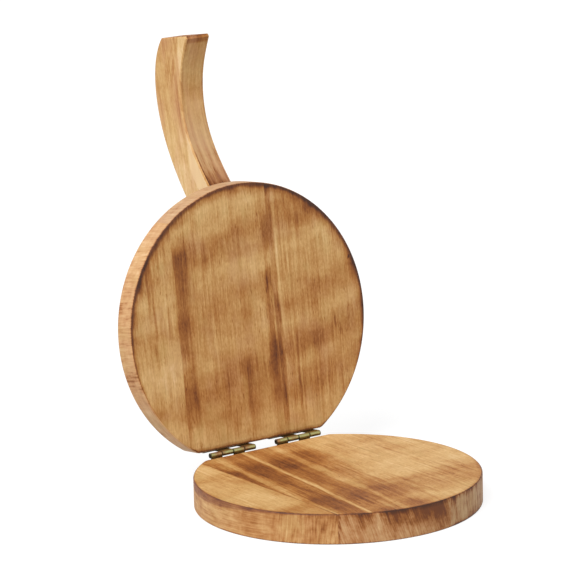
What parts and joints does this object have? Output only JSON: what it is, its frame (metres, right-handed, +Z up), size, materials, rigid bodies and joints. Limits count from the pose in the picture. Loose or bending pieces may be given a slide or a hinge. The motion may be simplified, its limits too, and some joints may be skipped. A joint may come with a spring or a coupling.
{
  "type": "tortilla press",
  "caption": "Hand press for tortillas: round wooden base and hinged lid, joined by brass butt hinges, with a curved wooden handle on the lid's back.",
  "frame": {"origin": "centre of the base board's flat underside, where it rests on the table", "axes": "+Z up, +X along the hinge line, +Y from the board's centre towards the hinges; the handle points to -Y when the lid is closed"},
  "size_m": [0.184, 0.2769, 0.2828],
  "materials": {
    "base_wood": "torch-scorched, oiled",
    "lid_wood": "torch-scorched, oiled",
    "handle_wood": "torch-scorched, oiled",
    "hinge_brass": "antique",
    "screw_brass": "antique",
    "pin_steel": "dark",
    "screw_steel": "zinc plated"
  },
  "bodies": {
    "base": {"base_stave_left": "base_wood", "base_stave_middle": "base_wood", "base_stave_right": "base_wood", "left_hinge_base_leaf": "hinge_brass", "left_hinge_base_screw_left": "screw_brass", "left_hinge_base_screw_right": "screw_brass", "left_hinge_pin": "pin_steel", "right_hinge_base_leaf": "hinge_brass", "right_hinge_base_screw_left": "screw_brass", "right_hinge_base_screw_right": "screw_brass", "right_hinge_pin": "pin_steel"},
    "lid": {"lid_stave_left": "lid_wood", "lid_stave_middle": "lid_wood", "lid_stave_right": "lid_wood", "handle": "handle_wood", "handle_screw_outer": "screw_steel", "handle_screw_inner": "screw_steel", "left_hinge_lid_leaf": "hinge_brass", "left_hinge_lid_screw_left": "screw_brass", "left_hinge_lid_screw_right": "screw_brass", "right_hinge_lid_leaf": "hinge_brass", "right_hinge_lid_screw_left": "screw_brass", "right_hinge_lid_screw_right": "screw_brass"}
  },
  "joints": [
    {"name": "lid_hinge", "type": "hinge", "parent": "base", "child": "lid", "pos_m": [0, 0.0795, 0.0211], "axis": [1, 0, 0], "range_deg": [-68.6, 98.85]}
  ]
}
